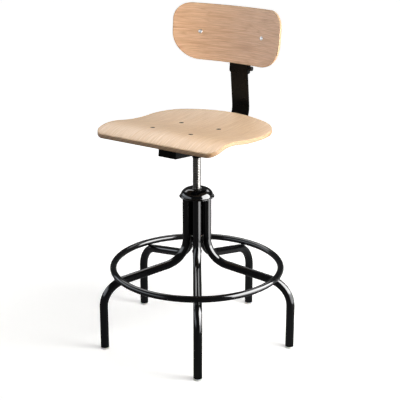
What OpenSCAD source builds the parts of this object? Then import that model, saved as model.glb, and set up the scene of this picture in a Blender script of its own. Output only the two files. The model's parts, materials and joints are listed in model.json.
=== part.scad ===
// High swivel chair: five bent tube legs, a foot ring, a screw spindle, a moulded
// plywood seat on a steel carrier, and a plywood back on an adjustable flat steel bar.
// Millimetres, +Z up, the seat faces -Y, and the swivel axis stands on the floor at the origin.

/* [Base] */
// Distance from the swivel axis to the middle of each foot
foot_circle_r = 290; // [280:1:300]
// Outside diameter of the leg tube
leg_od = 25; // [24:0.5:25]
// Wall of the leg tube
leg_wall = 2; // [1.5:0.5:2.5]
// Distance from the axis to the leg tubes where they stand bundled
bundle_r = 31.5; // [31:0.5:33]
// Centreline radius of both bends of a leg
leg_bend_r = 80; // [70:1:85]
// Fall of a leg between its two bends, in degrees
leg_slope = 12.6; // [11:0.1:14]
// Height where the upper bend of a leg begins
upper_bend_z = 320; // [310:1:330]
// Height of the top of the leg bundle
column_top_z = 452; // [445:1:455]
// Turn of the first leg from +X, in degrees
base_turn = 16.6; // [0:0.1:72]
// Height of the white glide below each leg
glide_h = 5.5; // [4:0.5:8]
// Diameter of the glide
glide_d = 27; // [26:0.5:28]

/* [Foot ring] */
// Distance of the ring's middle inside the circle of the feet
ring_inset = 39.2; // [35:0.1:45]
// Outside diameter of the ring's tube
ring_od = 19; // [18:0.5:20]
// Wall of the ring's tube
ring_wall = 2; // [1.5:0.5:2.5]
// Gap between the ring and each leg, which the studs bridge
ring_gap = 0.9; // [0.5:0.1:2]
// Diameter of the stud that joins the ring to a leg
ring_stud_d = 10; // [8:1:12]

/* [Spindle] */
// Outside diameter of the spindle's screw thread
spindle_d = 24; // [20:1:24]
// Height of the spindle's lower end
spindle_bottom_z = 276; // [270:1:280]
// Height of the spindle's upper end, inside the hub
spindle_top_z = 622; // [610:1:625]
// Height of the lower end of the seat hub
hub_bottom_z = 568; // [560:1:572]
// Outside diameter of the seat hub
hub_d = 32; // [30:1:36]
// Diameter of the dome cover at its lip
dome_d = 104; // [100:1:108]
// Height of the top of the dome cover
dome_top_z = 474.5; // [474:0.5:478]

/* [Seat] */
// Width of the seat panel
seat_w = 411; // [400:1:420]
// Distance from the axis to the front edge of the seat
seat_front = 219.5; // [215:0.5:222]
// Distance from the axis to the rear edge of the seat
seat_rear = 178; // [172:0.5:182]
// Thickness of the seat plywood
seat_t = 11; // [10:0.5:12]
// Distance of the seat's crest in front of the axis
seat_crest = 151.4; // [148:0.2:155]
// Height of the seat's crest
seat_crest_z = 676; // [674:0.2:678]
// Radius of the front corners of the seat
seat_front_corner_r = 32; // [25:1:40]
// Radius of the rear corners of the seat
seat_rear_corner_r = 110; // [85:1:115]
// Radius of the bowed rear edge of the seat
seat_rear_bow_r = 345; // [330:1:400]
// Fall of the seat plate to the rear, in degrees
seat_tilt = 6.8; // [6.5:0.1:7]
// Height of the top of the seat plate on the axis
plate_z = 642.1; // [641.8:0.1:642.2]
// Side to side distance of the seat bolts
seat_bolt_x = 130; // [120:1:136]

/* [Back bar] */
// Width of the flat back bar
bar_w = 59; // [56:0.5:59]
// Thickness of the back bar
bar_t = 5; // [4:0.5:5]
// Inner radius of the bend of the back bar
bar_bend_r = 58; // [50:1:62]
// Distance from the axis to the start of the bend, along the tilted seat plate
bar_bend_v = 172.8; // [170:0.2:178]
// Lean of the upright part of the back bar to the front, in degrees
bar_lean = 6; // [5:0.5:7]
// Length of the upright part of the back bar
bar_upright = 195; // [190:1:198]

/* [Back] */
// Width of the back panel, straight across
back_w = 369.5; // [350:0.5:380]
// Height of the back panel
back_h = 167.5; // [160:0.5:172]
// Thickness of the back plywood
back_t = 9; // [8:0.5:9]
// Radius of the hollow front face of the back panel
back_curve_r = 375; // [360:5:400]
// Distance from the axis to the middle of the back panel's front face
back_y = 190.6; // [188:0.2:192]
// Height of the middle of the back panel
back_z = 897.6; // [894:0.2:900]
// Lean of the back panel to the rear, in degrees
back_lean = 5; // [4:0.5:6]
// Radius of the upper corners of the back panel
back_top_corner_r = 50; // [30:1:60]
// Radius of the lower corners of the back panel
back_low_corner_r = 80; // [60:1:84]
// Distance between the two back screws, straight across
back_screw_x = 211.8; // [200:0.2:215]

/* [Hidden] */
LEGS = 5;

steel_black = "#17171a";
steel_bright = "#b9babd";
plastic_black = "#222226";
plastic_white = "#f2f2f0";
beech = "#dcb68c";

// Clearances
press = 0.02;          // between pieces that are pressed or welded together, on the radius
run = 0.06;            // between a shaft and the bore it turns or slides in, on the radius
slip = 0.3;            // between flat faces that slide past each other
turn_gap = 0.1;        // between end faces that turn on each other

// Leg
bend_swell = 0.1;
reach = 2;
leg_r = leg_od / 2;
leg_bore_r = leg_r - leg_wall;
bend_turn = 90 - leg_slope;
leg_run = foot_circle_r - bundle_r - 2 * leg_bend_r * (1 - sin(leg_slope));
leg_run_l = leg_run / cos(leg_slope);
lower_bend_z = upper_bend_z - 2 * leg_bend_r * cos(leg_slope) - leg_run * tan(leg_slope);

// Foot ring: it stands on the outer side of the lower bends
ring_r = foot_circle_r - ring_inset;
stud_x = ring_r - foot_circle_r + leg_bend_r;
stud_turn = asin(stud_x / (leg_bend_r + leg_r));
ring_z = lower_bend_z
    + sqrt(pow(leg_bend_r + leg_r + ring_gap + ring_od / 2, 2) - pow(stud_x, 2));
stud_low = lower_bend_z + sqrt(pow(leg_bend_r, 2) - pow(stud_x, 2));
stud_cut_l = 4 * ring_stud_d;
vent_r = 2;

// Column
centre_tube_r = bundle_r - leg_r;
centre_bore_r = centre_tube_r - 3;
centre_tube_z = upper_bend_z + 10;
bush_flange_t = 4;
bush_flange_r = centre_tube_r - 0.5;
bush_h = 26;
nut_flange_r = 40;
nut_flange_t = 5;
nut_collar_r = 19;
nut_tail_h = 32;
sheet_t = 1.6;
dome_flat_r = 20;
dome_shoulder_r = 48;
dome_lip_z = column_top_z - 3.5;

// Spindle
spindle_r = spindle_d / 2;
hub_r = hub_d / 2;
hub_taper = 6;
stop_r = 15;
stop_t = 4;
stop_thread_r = 4;
stop_screw_l = 22;
hub_pin_r = 2.5;
hub_pin_z = hub_bottom_z + 9.5;

// Seat plate, carrier and bar guide, in the tilted frame of the seat plate:
// v runs rearward along the plate, w is square to it, and w = 0 is the plate's top face
plate_t = 4;
plate_w = 160;
plate_front = -146;
plate_rear = 134;
plate_corner_r = 12;
carrier_w = 60;
carrier_t = 2.5;
carrier_depth = 57.5;
carrier_front = -143;
carrier_rear = 36;
floor_t = 4;
floor_l = 62;
seat_bolt_v = [-128, 14];
seat_bolt_w = 17.5;
bolt_head_r = 6;
bolt_head_t = 3.2;
bolt_recess = 4;
bolt_r = 3;
spacer_r = 10;
spacer_blank_h = seat_bolt_w - bolt_recess;
hex_h = 5;             // seat nut: height, half width over corners, and its flange
hex_r = 5.77;
hex_flange_t = 1.6;
hex_flange_r = 6;
bolt_tail = 2.4;       // length of the bolt below the nut
guide_t = 3;
guide_front = 42;
guide_rear = 132;
guide_depth = 30;
guide_w = bar_w + 2 * slip + 2 * guide_t;
bar_w_top = -plate_t - guide_t - turn_gap;
bar_inner_v = 52;
clamp_v = 105;
clamp_l = 30;
clamp_pad_t = 3;
clamp_screw_r = 5;
clamp_knob_r = 20;
clamp_knob_top = -41;
clamp_knob_h = 20;

// Back bar and slider, in the leaning frame of the bar's upright part:
// y = 0 is the bar's front face, z runs up along the bar from the end of the bend
bar_turn = 90 + bar_lean + seat_tilt;
bar_trace = 0.05;
bar_reach = 1.5;
bar_slot_r = 4.5;
bar_slot_low = 128;
bar_slot_high = 186;
block_t = 10;
block_low = 101;
block_shoulder = 126;
block_high = 184;
block_neck_w = 36;
height_screw_h = 170;
height_screw_r = 4;
height_knob_r = 16;
height_knob_l = 18;
ear_t = 2.5;
ear_x = bar_w / 2 + slip;
ear_r = 8;
ear_drop = 8.5;
ear_shift = 2.6;
pivot_y = bar_t + slip + block_t / 2;
pivot_h = 113.3;
pivot_r = 3;
pivot_head_r = 6;
pivot_head_t = 1.6;
pivot_knob_r = 7;
pivot_knob_l = 9;
pivot_insert_l = 6;
pivot_insert_r = 5;

// Back panel frame: y = 0 is the middle of the front face, z = 0 the middle of the height
back_plate_t = 3;
back_plate_w = 250;
back_plate_h = 30;
screw_angle = asin(back_screw_x / 2 / back_curve_r);
screw_r = 3;
screw_head_r = 6;
screw_head_h = 2.2;
screw_head_lift = back_curve_r - sqrt(pow(back_curve_r, 2) - pow(screw_head_r, 2));
back_washer_t = 1.2;
back_washer_r = 6.5;
back_nut_h = 4.8;
back_nut_r = 5.5;
screw_tail = 1;        // length of the screw beyond the nut
web_top = -5;
web_bottom = -56;

// Frames
module seat_frame() translate([0, 0, plate_z]) rotate([-seat_tilt, 0, 0]) children();
module back_frame() translate([0, back_y, back_z]) rotate([-back_lean, 0, 0]) children();
module upright_frame()
    seat_frame()
        translate([0, bar_bend_v, bar_w_top + bar_bend_r])
            rotate([bar_turn - 90, 0, 0])
                translate([0, bar_bend_r, 0]) children();

// Where the pivot stands in the frame of the back panel
function turned(p, a) = [p.x * cos(a) - p.y * sin(a), p.x * sin(a) + p.y * cos(a)];
bend_centre = turned([bar_bend_v, bar_w_top + bar_bend_r], -seat_tilt) + [0, plate_z];
pivot_yz = bend_centre + turned([bar_bend_r + pivot_y, pivot_h], bar_lean);
pivot_in_back = turned(pivot_yz - [back_y, back_z], back_lean);

// Points along a chain of arcs: each bend is [radius, turn], and each point is [y, z, heading]
function arc_at(p, bend, a) =
    let (s = sign(bend[1]) * bend[0], h = p[2])
    [p[0] + s * (sin(h + a) - sin(h)), p[1] - s * (cos(h + a) - cos(h)), h + a];
function chain(p, bends, i = 0, steps = 8) =
    i == len(bends) ? [p]
    : concat([for (k = [0:steps - 1]) arc_at(p, bends[i], bends[i][1] * k / steps)],
             chain(arc_at(p, bends[i], bends[i][1]), bends, i + 1, steps));
function below(path, t) = [for (p = path) [p[0] + t * sin(p[2]), p[1] - t * cos(p[2])]];
function above(path) = [for (p = path) [p[0], p[1]]];
function reversed(list) = [for (i = [len(list) - 1:-1:0]) list[i]];
function round_corner(c, r, from, to, steps = 10) =
    [for (k = [0:steps]) let (a = from + (to - from) * k / steps) c + r * [cos(a), sin(a)]];
function mirrored(list) = [for (p = reversed(list)) [-p.x, p.y]];

// The seat's curve from front to rear: lip, crest, hollow and rise
seat_lip_r = 150;
seat_crest_r = 300;
seat_hollow_r = 700;
seat_rise_r = 1100;
seat_lip_turn = 34;
seat_bends = [[seat_lip_r, -seat_lip_turn], [seat_crest_r, -11], [seat_hollow_r, 11],
              [seat_rise_r, 8]];
seat_start = [-seat_crest - seat_lip_r * sin(seat_lip_turn),
              seat_crest_z - seat_lip_r * (1 - cos(seat_lip_turn)), seat_lip_turn];

// Tubes

module tube(l, r, bore)
    difference() {
        cylinder(h = l, r = r, $fn = 64);
        translate([0, 0, -1]) cylinder(h = l + 2, r = bore, $fn = 64);
    }

// A round rod bent about the y axis, from one angle through a turn
module rod_bend(from, turn, r)
    rotate([90, 0, 0])
        rotate_extrude(angle = turn, start = from, $fn = 96)
            translate([leg_bend_r, 0]) circle(r = r, $fn = 64);

// The leg's path as a solid rod. Its straight parts reach a little into the bends, and there
// they are a trace thinner, as bending swells a tube.
module leg_rod(r, beyond) {
    s = r - bend_swell;
    translate([bundle_r, 0, upper_bend_z - reach])
        cylinder(h = column_top_z - upper_bend_z + reach + beyond, r = s, $fn = 64);
    translate([bundle_r + leg_bend_r, 0, upper_bend_z]) rod_bend(180, bend_turn, r);
    translate([bundle_r + leg_bend_r * (1 - sin(leg_slope)), 0,
               upper_bend_z - leg_bend_r * cos(leg_slope)])
        rotate([0, 90 + leg_slope, 0]) translate([0, 0, -reach])
            cylinder(h = leg_run_l + 2 * reach, r = s, $fn = 64);
    translate([foot_circle_r - leg_bend_r, 0, lower_bend_z]) rod_bend(0, bend_turn, r);
    translate([foot_circle_r, 0, glide_h - beyond])
        cylinder(h = lower_bend_z - glide_h + reach + beyond, r = s, $fn = 64);
}

module at_leg(i) rotate([0, 0, base_turn + (i - 1) * 360 / LEGS]) children();

module leg(i)
    color(steel_black) at_leg(i) difference() {
        leg_rod(leg_r, 0);
        leg_rod(leg_bore_r, 1);
    }

module glide(i)
    color(plastic_white) at_leg(i) translate([foot_circle_r, 0, 0]) {
        cylinder(h = glide_h, d = glide_d, $fn = 64);
        translate([0, 0, glide_h]) cylinder(h = 14, r = leg_bore_r - bend_swell - press, $fn = 64);
    }

module centre_tube()
    color(steel_black) translate([0, 0, centre_tube_z])
        tube(column_top_z - centre_tube_z, centre_tube_r, centre_bore_r);

// Flanged nut on top of the tubes, with a collar that carries the dome cover
module spindle_nut()
    color(steel_bright) difference() {
        union() {
            translate([0, 0, column_top_z - nut_tail_h])
                cylinder(h = nut_tail_h, r = centre_bore_r - press, $fn = 64);
            translate([0, 0, column_top_z]) cylinder(h = nut_flange_t, r = nut_flange_r, $fn = 64);
            translate([0, 0, column_top_z])
                cylinder(h = dome_top_z - sheet_t - column_top_z, r = nut_collar_r, $fn = 64);
        }
        translate([0, 0, column_top_z - nut_tail_h - 1])
            cylinder(h = 80, r = spindle_r + run, $fn = 64);
    }

module guide_bush()
    color(plastic_white) difference() {
        union() {
            translate([0, 0, centre_tube_z])
                cylinder(h = bush_h, r = centre_bore_r - press, $fn = 64);
            translate([0, 0, centre_tube_z - bush_flange_t])
                cylinder(h = bush_flange_t, r = bush_flange_r, $fn = 64);
        }
        translate([0, 0, centre_tube_z - 10])
            cylinder(h = bush_h + 20, r = spindle_r + run, $fn = 64);
    }

// Spun steel cover: a flat top, a round shoulder and a flared lip
function dome_curve(t) =
    [for (a = [90:-10:0])
        [dome_flat_r + (dome_shoulder_r - dome_flat_r - t) * cos(a),
         column_top_z + (dome_top_z - column_top_z - t) * sin(a)]];
module dome_cover()
    color(steel_black) rotate_extrude($fn = 96)
        polygon(concat(
            [[spindle_r + 1.5, dome_top_z]], dome_curve(0),
            [[dome_d / 2, dome_lip_z + sheet_t], [dome_d / 2, dome_lip_z]],
            reversed(dome_curve(sheet_t)), [[spindle_r + 1.5, dome_top_z - sheet_t]]));

module foot_ring()
    color(steel_black) difference() {
        translate([0, 0, ring_z]) rotate_extrude($fn = 180)
            translate([ring_r, 0]) difference() {
                circle(d = ring_od, $fn = 48);
                circle(r = ring_od / 2 - ring_wall, $fn = 48);
            }
        // Vent hole that opens the tube at its underside
        rotate([0, 0, base_turn + 36]) translate([ring_r, 0, ring_z - ring_od])
            cylinder(h = ring_od, r = vent_r, $fn = 24);
    }

// Short studs, hollowed below to sit on the leg and above to take the ring's tube
module ring_studs()
    color(steel_black)
        for (i = [1:LEGS]) at_leg(i)
            difference() {
                translate([ring_r, 0, stud_low])
                    cylinder(h = ring_z - ring_od / 2 + ring_stud_d / 3 - stud_low,
                             d = ring_stud_d, $fn = 32);
                translate([foot_circle_r - leg_bend_r, 0, lower_bend_z])
                    rotate([0, stud_turn, 0]) translate([-stud_cut_l, 0, leg_bend_r])
                        rotate([0, 90, 0])
                            cylinder(h = 2 * stud_cut_l, r = leg_r + press, $fn = 64);
                translate([ring_r, -stud_cut_l / 2, ring_z]) rotate([-90, 0, 0])
                    cylinder(h = stud_cut_l, r = ring_od / 2 + press, $fn = 64);
            }

// Spindle

module spindle()
    color(steel_bright) difference() {
        translate([0, 0, spindle_bottom_z])
            cylinder(h = spindle_top_z - spindle_bottom_z, r = spindle_r, $fn = 64);
        translate([0, 0, spindle_bottom_z - 1])
            cylinder(h = stop_screw_l + 2, r = stop_thread_r + press, $fn = 32);
        translate([-20, 0, hub_pin_z]) rotate([0, 90, 0])
            cylinder(h = 40, r = hub_pin_r + press, $fn = 32);
    }

module stop_washer()
    color(steel_bright) translate([0, 0, spindle_bottom_z - turn_gap - stop_t])
        tube(stop_t, stop_r, stop_thread_r + run);

module stop_screw()
    color(steel_bright) translate([0, 0, spindle_bottom_z - 2 * turn_gap - stop_t]) {
        cylinder(h = stop_screw_l, r = stop_thread_r, $fn = 32);
        translate([0, 0, -5.5]) cylinder(h = 5.5, r = 7.5, $fn = 6);
    }

// Hub welded up into the carrier: its top is cut to the sloping web
module hub()
    color(steel_black) difference() {
        intersection() {
            rotate_extrude($fn = 64)
                polygon([[spindle_r + press, hub_bottom_z], [hub_r - 2.6, hub_bottom_z],
                         [hub_r, hub_bottom_z + hub_taper], [hub_r, plate_z],
                         [spindle_r + press, plate_z]]);
            seat_frame() translate([-50, -50, -plate_t - carrier_t - 100]) cube([100, 100, 100]);
        }
        translate([-20, 0, hub_pin_z]) rotate([0, 90, 0])
            cylinder(h = 40, r = hub_pin_r + press, $fn = 32);
    }

module hub_pin()
    color(steel_bright) translate([-hub_r, 0, hub_pin_z]) rotate([0, 90, 0])
        cylinder(h = 2 * hub_r, r = hub_pin_r, $fn = 32);

// Seat carrier and plate

// Channel open below and at the rear, with its front end closed
module seat_carrier()
    color(steel_black) seat_frame()
        difference() {
            translate([-carrier_w / 2, carrier_front, -carrier_depth])
                cube([carrier_w, carrier_rear - carrier_front, carrier_depth - plate_t]);
            translate([-carrier_w / 2 + carrier_t, carrier_front + carrier_t, -carrier_depth - 1])
                cube([carrier_w - 2 * carrier_t, carrier_rear - carrier_front,
                      carrier_depth - plate_t - carrier_t + 1]);
        }

module carrier_floor()
    color(steel_black) difference() {
        seat_frame()
            translate([-carrier_w / 2 + carrier_t, -floor_l / 2 - 1, -carrier_depth])
                cube([carrier_w - 2 * carrier_t, floor_l, floor_t]);
        translate([0, 0, hub_bottom_z])
            cylinder(h = 60, r = hub_r + press, $fn = 64);
    }

module at_seat_bolts()
    for (x = [-1, 1], v = seat_bolt_v) translate([x * seat_bolt_x / 2, v, 0]) children();

module seat_plate()
    color(steel_black) seat_frame() difference() {
        translate([0, 0, -plate_t]) linear_extrude(plate_t)
            polygon(let (x = plate_w / 2 - plate_corner_r, r = plate_corner_r,
                         f = plate_front + r, b = plate_rear - r)
                concat(round_corner([x, f], r, -90, 0), round_corner([x, b], r, 0, 90),
                       round_corner([-x, b], r, 90, 180), round_corner([-x, f], r, 180, 270)));
        at_seat_bolts() translate([0, 0, -plate_t - 1])
            cylinder(h = plate_t + 2, r = bolt_r + 0.3, $fn = 32);
    }

module seat_slab(w)
    translate([-w / 2, 0, 0]) rotate([90, 0, 90]) linear_extrude(w)
        let (path = chain(seat_start, seat_bends))
        polygon(concat(above(path), reversed(below(path, seat_t))));

module seat_outline()
    let (x = seat_w / 2, f = seat_front_corner_r, c = seat_rear_corner_r, b = seat_rear_bow_r,
         bow = [0, seat_rear - b],
         corner = [x - c, seat_rear - b + sqrt(pow(b - c, 2) - pow(x - c, 2))],
         meet = atan2(corner.y - bow.y, corner.x - bow.x),
         right = concat(round_corner([x - f, f - seat_front], f, -90, 0),
                        round_corner(corner, c, 0, meet, 12),
                        round_corner(bow, b, meet, 90, 8)))
    polygon(concat(right, mirrored(right)));

module seat_panel()
    color(beech) difference() {
        intersection() {
            seat_slab(seat_w + 2 * seat_t);
            linear_extrude(2 * seat_crest_z) seat_outline();
        }
        seat_frame() at_seat_bolts() {
            translate([0, 0, -seat_t]) cylinder(h = 5 * seat_t, r = bolt_r + 0.2, $fn = 32);
            translate([0, 0, seat_bolt_w - bolt_recess])
                cylinder(h = 2 * seat_t, r = bolt_head_r + 0.4, $fn = 48);
        }
    }

// Rubber pads between the plate and the seat, with tops that follow the seat
module seat_spacers()
    color(plastic_black) difference() {
        seat_frame() at_seat_bolts() difference() {
            cylinder(h = spacer_blank_h, r = spacer_r, $fn = 48);
            translate([0, 0, -seat_t]) cylinder(h = 4 * seat_t, r = bolt_r + 0.2, $fn = 32);
        }
        seat_slab(seat_w);
    }

module seat_bolts()
    color(steel_black) seat_frame() at_seat_bolts() {
        translate([0, 0, -plate_t - hex_h - hex_flange_t - bolt_tail])
            cylinder(h = spacer_blank_h + plate_t + hex_h + hex_flange_t + bolt_tail,
                     r = bolt_r, $fn = 32);
        translate([0, 0, seat_bolt_w - bolt_recess]) difference() {
            cylinder(h = bolt_head_t, r = bolt_head_r, $fn = 48);
            translate([0, 0, 1.2]) cylinder(h = 5, r = 2.3, $fn = 6);
        }
    }

module seat_nuts()
    color(steel_bright) seat_frame() at_seat_bolts()
        translate([0, 0, -plate_t - hex_h - hex_flange_t]) difference() {
            union() {
                cylinder(h = hex_h, r = hex_r, $fn = 6);
                translate([0, 0, hex_h]) cylinder(h = hex_flange_t, r = hex_flange_r, $fn = 48);
            }
            translate([0, 0, -1]) cylinder(h = 2 * hex_h, r = bolt_r + press, $fn = 32);
        }

// Bar guide and its clamp

module bar_guide()
    color(steel_black) seat_frame() difference() {
        translate([-guide_w / 2, guide_front, -guide_depth])
            cube([guide_w, guide_rear - guide_front, guide_depth - plate_t]);
        translate([-guide_w / 2 + guide_t, guide_front - 1, -guide_depth - 1])
            cube([guide_w - 2 * guide_t, guide_rear - guide_front + 2,
                  guide_depth - plate_t - guide_t + 1]);
    }

module clamp_bridge()
    color(steel_black) seat_frame() difference() {
        translate([-guide_w / 2 + guide_t, clamp_v - clamp_l / 2, -guide_depth])
            cube([guide_w - 2 * guide_t, clamp_l, 4]);
        translate([0, clamp_v, -guide_depth - 1])
            cylinder(h = 10, r = clamp_screw_r + 0.5, $fn = 32);
    }

module clamp_nut()
    color(steel_bright) seat_frame() translate([0, clamp_v, -guide_depth - 8]) difference() {
        cylinder(h = 8, r = 9.2, $fn = 6);
        translate([0, 0, -1]) cylinder(h = 10, r = clamp_screw_r + run, $fn = 32);
    }

module clamp_pad()
    color(plastic_black) seat_frame()
        translate([-20, clamp_v - clamp_l / 2, bar_w_top - bar_t - turn_gap - clamp_pad_t])
            cube([40, clamp_l, clamp_pad_t]);

clamp_tip = bar_w_top - bar_t - 2 * turn_gap - clamp_pad_t;
module clamp_screw()
    color(steel_bright) seat_frame() translate([0, clamp_v, clamp_knob_top - 14])
        cylinder(h = clamp_tip - clamp_knob_top + 14, r = clamp_screw_r, $fn = 32);

module clamp_knob()
    color(plastic_black) seat_frame()
        translate([0, clamp_v, clamp_knob_top - clamp_knob_h]) difference() {
            union() {
                cylinder(h = 14, r = clamp_knob_r, $fn = 64);
                translate([0, 0, 14]) cylinder(h = clamp_knob_h - 14, r = 9, $fn = 48);
            }
            for (k = [0:5]) rotate([0, 0, 60 * k]) translate([clamp_knob_r + 7, 0, -1])
                cylinder(h = 16, r = 10, $fn = 48);
            translate([0, 0, clamp_knob_h - 14])
                cylinder(h = 20, r = clamp_screw_r + press, $fn = 32);
        }

// The slot in the upper part of the bar, behind the back panel
module bar_slot() {
    for (h = [bar_slot_low + bar_slot_r, bar_slot_high - bar_slot_r]) translate([0, h])
        circle(r = bar_slot_r, $fn = 48);
    translate([-bar_slot_r, bar_slot_low + bar_slot_r])
        square([2 * bar_slot_r, bar_slot_high - bar_slot_low - 2 * bar_slot_r]);
}

// Flat bar: a leg under the seat, one bend and an upright with rounded top corners.
// The straight parts reach a little into the bend, and there they are a trace thinner.
module back_bar()
    color(steel_black) {
        seat_frame() {
            translate([-bar_w / 2, bar_inner_v, bar_w_top - bar_t + bar_trace])
                cube([bar_w, bar_bend_v - bar_inner_v + bar_reach, bar_t - 2 * bar_trace]);
            translate([bar_w / 2, bar_bend_v, bar_w_top + bar_bend_r]) rotate([0, -90, 0])
                rotate_extrude(angle = bar_turn, start = 180 - bar_turn, $fn = 96)
                    translate([bar_bend_r, 0]) square([bar_t, bar_w]);
        }
        upright_frame() translate([0, bar_t - bar_trace, 0]) rotate([90, 0, 0])
            linear_extrude(bar_t - 2 * bar_trace)
                difference() {
                    polygon(let (x = bar_w / 2, r = 8)
                        concat([[-x, -bar_reach], [x, -bar_reach]],
                               round_corner([x - r, bar_upright - r], r, 0, 90, 6),
                               round_corner([r - x, bar_upright - r], r, 90, 180, 6)));
                    bar_slot();
                }
    }

module bar_stop_screw()
    color(steel_bright) seat_frame()
        translate([0, bar_inner_v + 7, bar_w_top - bar_t - 3.5]) cylinder(h = 3.5, r = 4.5, $fn = 32);

// Slider: a block behind the bar, wide at the pivot and narrow along the slot
module slider()
    color(steel_black) upright_frame() difference() {
        union() {
            translate([-bar_w / 2, bar_t + slip, block_low])
                cube([bar_w, block_t, block_shoulder - block_low]);
            translate([0, bar_t + slip + block_t, 0]) rotate([90, 0, 0]) linear_extrude(block_t)
                polygon(let (x = block_neck_w / 2, r = 10)
                    concat([[-x, block_shoulder - 1], [x, block_shoulder - 1]],
                           round_corner([x - r, block_high - r], r, 0, 90, 6),
                           round_corner([r - x, block_high - r], r, 90, 180, 6)));
        }
        translate([-50, pivot_y, pivot_h]) rotate([0, 90, 0])
            cylinder(h = 100, r = pivot_r + press, $fn = 32);
        translate([0, 0, height_screw_h]) rotate([-90, 0, 0])
            cylinder(h = 40, r = height_screw_r + run, $fn = 32);
    }

module at_height_screw(y)
    upright_frame() translate([0, y, height_screw_h]) rotate([-90, 0, 0]) children();

// Nut with its washer in front of the bar
module slider_nut()
    color(steel_bright) at_height_screw(-slip - 8) difference() {
        union() {
            cylinder(h = 6.4, r = 7.5, $fn = 6);
            translate([0, 0, 6.4]) cylinder(h = 1.6, r = 10, $fn = 48);
        }
        translate([0, 0, -1]) cylinder(h = 12, r = height_screw_r + run, $fn = 32);
    }

knob_y = bar_t + slip + block_t + turn_gap;
module height_screw()
    color(steel_bright) at_height_screw(-slip - 8)
        cylinder(h = knob_y + slip + 8 + height_knob_l - 4, r = height_screw_r, $fn = 32);

module height_knob()
    color(plastic_black) at_height_screw(knob_y) difference() {
        union() {
            cylinder(h = 5, r = 9, $fn = 48);
            translate([0, 0, 5]) cylinder(h = height_knob_l - 5, r = height_knob_r, $fn = 64);
        }
        for (k = [0:5]) rotate([0, 0, 60 * k]) translate([height_knob_r + 6, 0, 5 - 1])
            cylinder(h = height_knob_l, r = 9, $fn = 48);
        translate([0, 0, -1])
            cylinder(h = height_knob_l - 3, r = height_screw_r + press, $fn = 32);
    }

module at_pivot() upright_frame() translate([0, pivot_y, pivot_h]) rotate([0, 90, 0]) children();

module pivot_bolt()
    color(steel_black) at_pivot() {
        translate([0, 0, -ear_x - ear_t])
            cylinder(h = 2 * (ear_x + ear_t) + slip + pivot_knob_l - 2, r = pivot_r, $fn = 32);
        translate([0, 0, -ear_x - ear_t - slip - pivot_head_t])
            cylinder(h = pivot_head_t, r = pivot_head_r, $fn = 48);
        translate([0, 0, -ear_x - ear_t - slip])
            cylinder(h = slip + 1, r = pivot_r, $fn = 32);
    }

// Threaded insert inside the pivot knob
module pivot_nut()
    color(steel_bright) at_pivot() translate([0, 0, ear_x + ear_t + slip])
        difference() {
            cylinder(h = pivot_insert_l, r = pivot_insert_r, $fn = 6);
            translate([0, 0, -1]) cylinder(h = 20, r = pivot_r + run, $fn = 32);
        }

module pivot_knob()
    color(plastic_black) at_pivot() translate([0, 0, ear_x + ear_t + slip])
        difference() {
            cylinder(h = pivot_knob_l, r = pivot_knob_r, $fn = 64);
            translate([0, 0, -1]) cylinder(h = pivot_insert_l + 1, r = pivot_insert_r, $fn = 6);
            translate([0, 0, -1]) cylinder(h = pivot_knob_l - 0.5, r = pivot_r + run, $fn = 32);
            for (k = [0:7]) rotate([0, 0, 45 * k + 22.5]) translate([pivot_knob_r + 1, 0, 2])
                cylinder(h = 20, r = 1.6, $fn = 24);
        }

// Back

// Two ears on a web: the web is welded to the back plate, and the ears reach down past the bar
module ear_side()
    let (p = pivot_in_back, r = ear_r, c = p - [ear_shift, ear_drop], y = back_t) {
        translate(c) circle(r = r, $fn = 48);
        polygon([[c.x - r, c.y], [c.x - r, p.y + 14], [y, web_bottom], [y, web_top],
                 [y + 14, web_top], [y + 24, web_bottom + 12], [c.x + r, p.y + 20], [c.x + r, c.y]]);
    }
module hinge_bracket()
    color(steel_black) back_frame() difference() {
        union() {
            for (x = [-ear_x - ear_t, ear_x]) translate([x, 0, 0])
                rotate([90, 0, 90]) linear_extrude(ear_t) ear_side();
            translate([-ear_x - 1, back_t, web_bottom])
                cube([2 * ear_x + 2, back_plate_t + ear_t, web_top - web_bottom]);
        }
        translate([-50, pivot_in_back.x, pivot_in_back.y]) rotate([0, 90, 0])
            cylinder(h = 100, r = pivot_r + run, $fn = 32);
        translate([0, -back_curve_r, -back_h]) cylinder(
            h = 2 * back_h, r = back_curve_r + back_t + back_plate_t + press, $fn = 360);
    }

module curved_sheet(front_r, t, h)
    translate([0, -back_curve_r, -h / 2]) difference() {
        cylinder(h = h, r = front_r + t, $fn = 360);
        translate([0, 0, -1]) cylinder(h = h + 2, r = front_r, $fn = 360);
    }

module at_back_screws()
    for (s = [-1, 1]) translate([0, -back_curve_r, 0]) rotate([0, 0, -s * screw_angle])
        translate([0, back_curve_r, 0]) rotate([-90, 0, 0]) children();

module back_outline()
    let (x = back_w / 2, z = back_h / 2, t = back_top_corner_r, b = back_low_corner_r,
         right = concat(round_corner([x - b, b - z], b, -90, 0, 16),
                        round_corner([x - t, z - t], t, 0, 90, 12)))
    polygon(concat(right, mirrored(right)));

module back_panel()
    color(beech) back_frame() difference() {
        intersection() {
            curved_sheet(back_curve_r, back_t, back_h + 10);
            translate([0, 30, 0]) rotate([90, 0, 0]) linear_extrude(100) back_outline();
        }
        at_back_screws() translate([0, 0, -back_t])
            cylinder(h = 4 * back_t, r = screw_r + 0.2, $fn = 32);
    }

module back_plate()
    color(steel_black) back_frame() difference() {
        intersection() {
            curved_sheet(back_curve_r + back_t, back_plate_t, back_plate_h);
            translate([-back_plate_w / 2, -60, -back_plate_h / 2])
                cube([back_plate_w, 100, back_plate_h]);
        }
        at_back_screws() translate([0, 0, -back_t])
            cylinder(h = 4 * back_t, r = screw_r + 0.2, $fn = 32);
    }

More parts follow.
